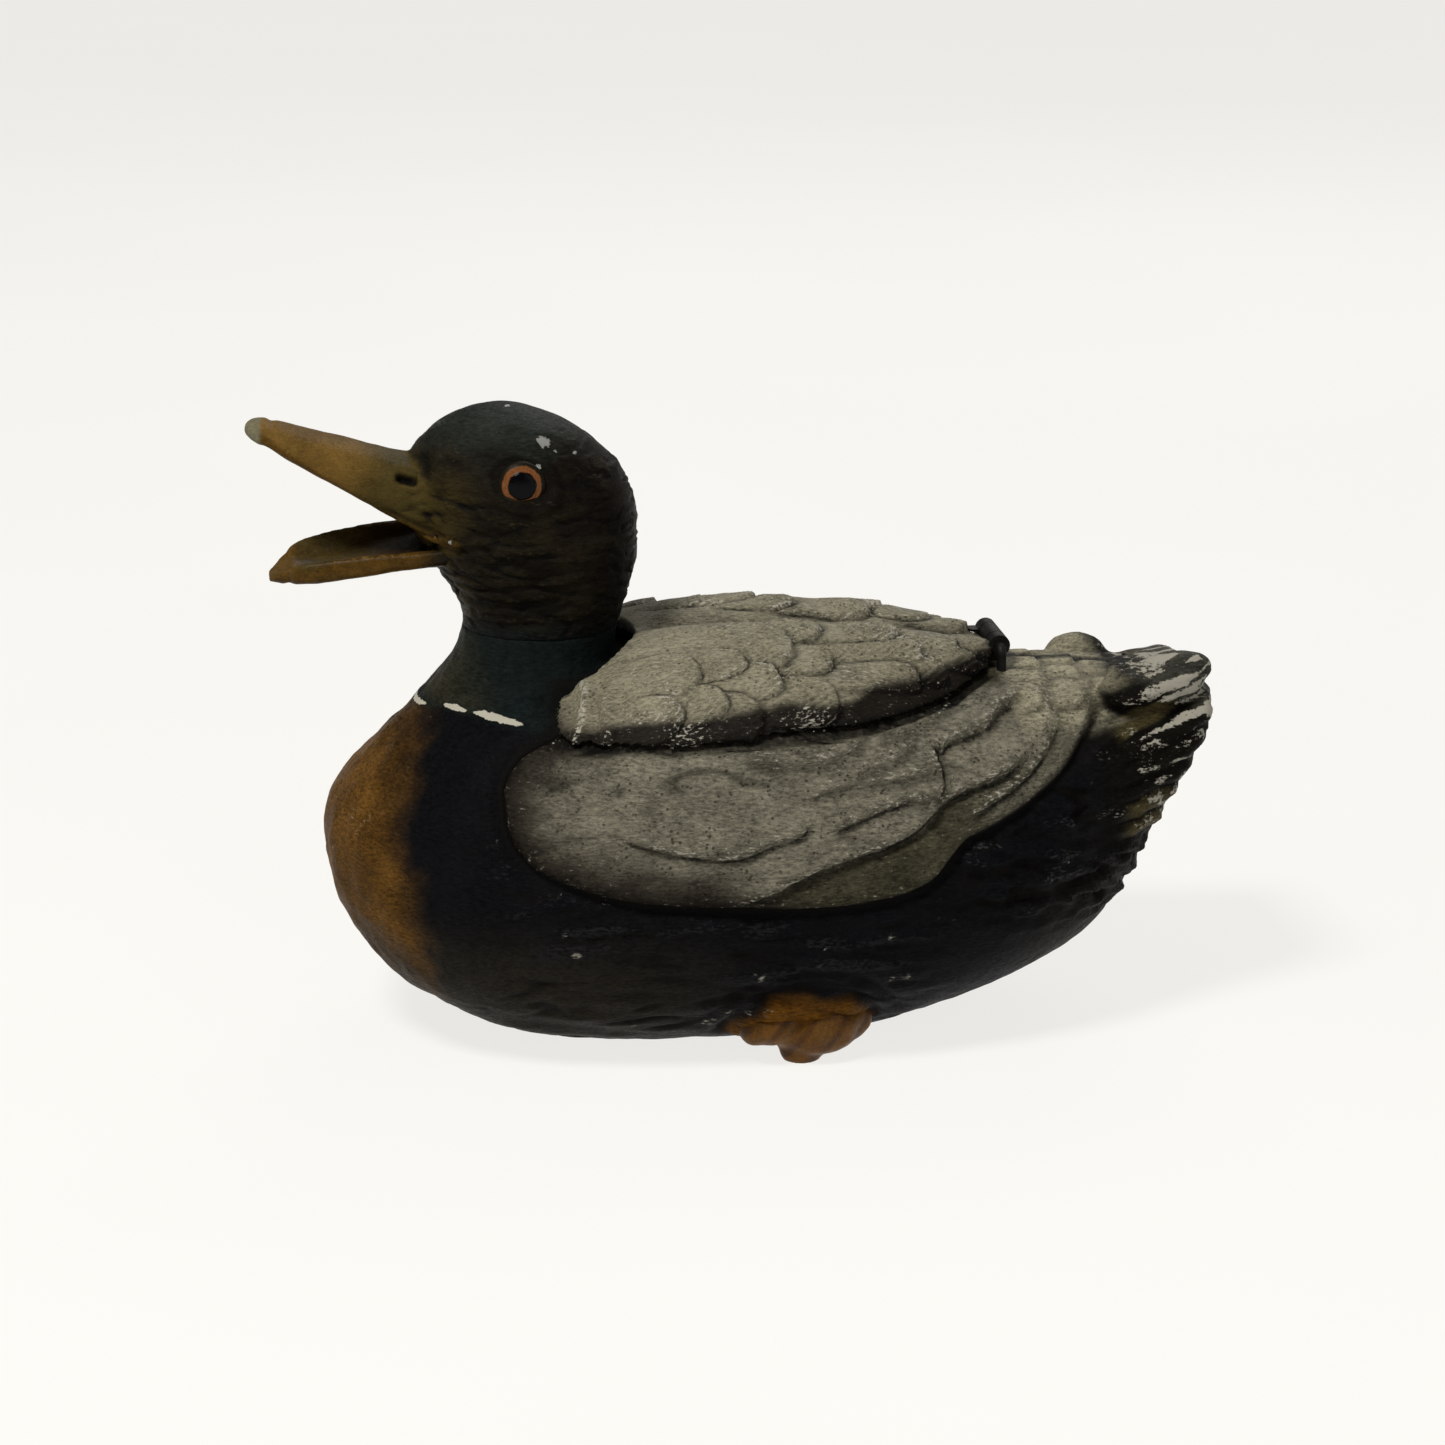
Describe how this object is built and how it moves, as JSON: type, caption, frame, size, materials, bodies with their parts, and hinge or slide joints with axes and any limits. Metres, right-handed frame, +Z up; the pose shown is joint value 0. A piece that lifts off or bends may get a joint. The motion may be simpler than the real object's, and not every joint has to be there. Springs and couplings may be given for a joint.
{
  "type": "lidded duck desk box",
  "caption": "Cast-metal duck with an open bill; its folded wings are a rear-hinged lid over a removable ink pot.",
  "frame": {"origin": "on the table, under the middle of the bounding box", "axes": "+X from bill to tail, +Y to the duck's right side, +Z up"},
  "size_m": [0.1857, 0.095, 0.124],
  "materials": {
    "body_paint": "worn satin cold paint",
    "head_paint": "worn satin cold paint",
    "wing_paint": "worn satin cold paint, dry brushed",
    "bill_paint": "worn satin cold paint",
    "foot_paint": "worn satin cold paint",
    "eye_paint": "glossy paint",
    "hinge_metal": "worn paint",
    "pin_metal": "dull dark wire",
    "plate_brass": "tarnished",
    "base_metal": "dull",
    "screw_metal": "dull",
    "pot_glass": "thick moulded glass"
  },
  "bodies": {
    "duck": {"body_casting": "body_paint", "base_plate": "base_metal", "base_screws": "screw_metal", "well_plate": "plate_brass", "ink_pot": "pot_glass", "head_casting": "head_paint", "lower_bill": "bill_paint", "left_eye": "eye_paint", "right_eye": "eye_paint", "left_foot": "foot_paint", "right_foot": "foot_paint", "hinge_lug": "hinge_metal", "hinge_pin": "pin_metal"},
    "lid": {"wing_lid": "wing_paint", "left_lid_knuckle": "hinge_metal", "right_lid_knuckle": "hinge_metal"}
  },
  "joints": [
    {"name": "lid_hinge", "type": "hinge", "parent": "duck", "child": "lid", "pos_m": [0.0525, 0, 0.0742], "axis": [0, 1, 0], "range_deg": [0, 110]}
  ]
}
